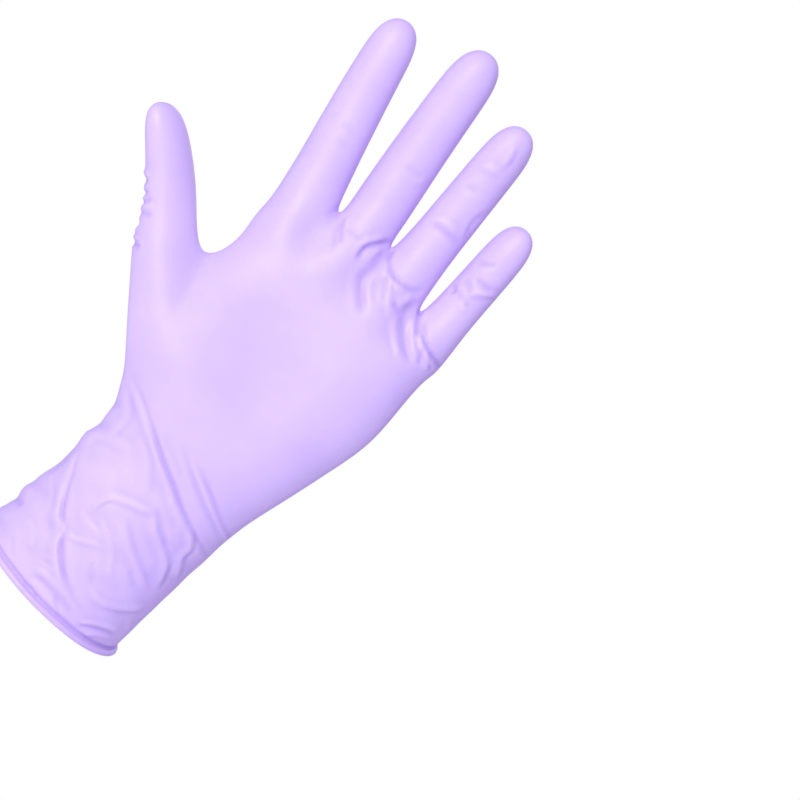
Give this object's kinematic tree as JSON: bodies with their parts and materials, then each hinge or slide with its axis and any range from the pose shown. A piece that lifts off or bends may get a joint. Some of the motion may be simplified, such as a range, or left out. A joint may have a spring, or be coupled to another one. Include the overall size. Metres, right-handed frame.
{
  "type": "nitrile exam glove",
  "caption": "Thin disposable glove in its worn form on an open left hand, fingers spread, with a creased wrist and a rolled bead round the cuff.",
  "frame": {"origin": "centre of the cuff's mouth, where the wrist passes through", "axes": "+Z from the cuff's mouth along the hand to the fingertips, -Y the palm side, +X from the thumb's side to the little finger's side"},
  "size_m": [0.1333, 0.0612, 0.2464],
  "materials": {
    "film": "satin lilac nitrile film"
  },
  "bodies": {
    "root": {"glove": "film"}
  },
  "joints": []
}
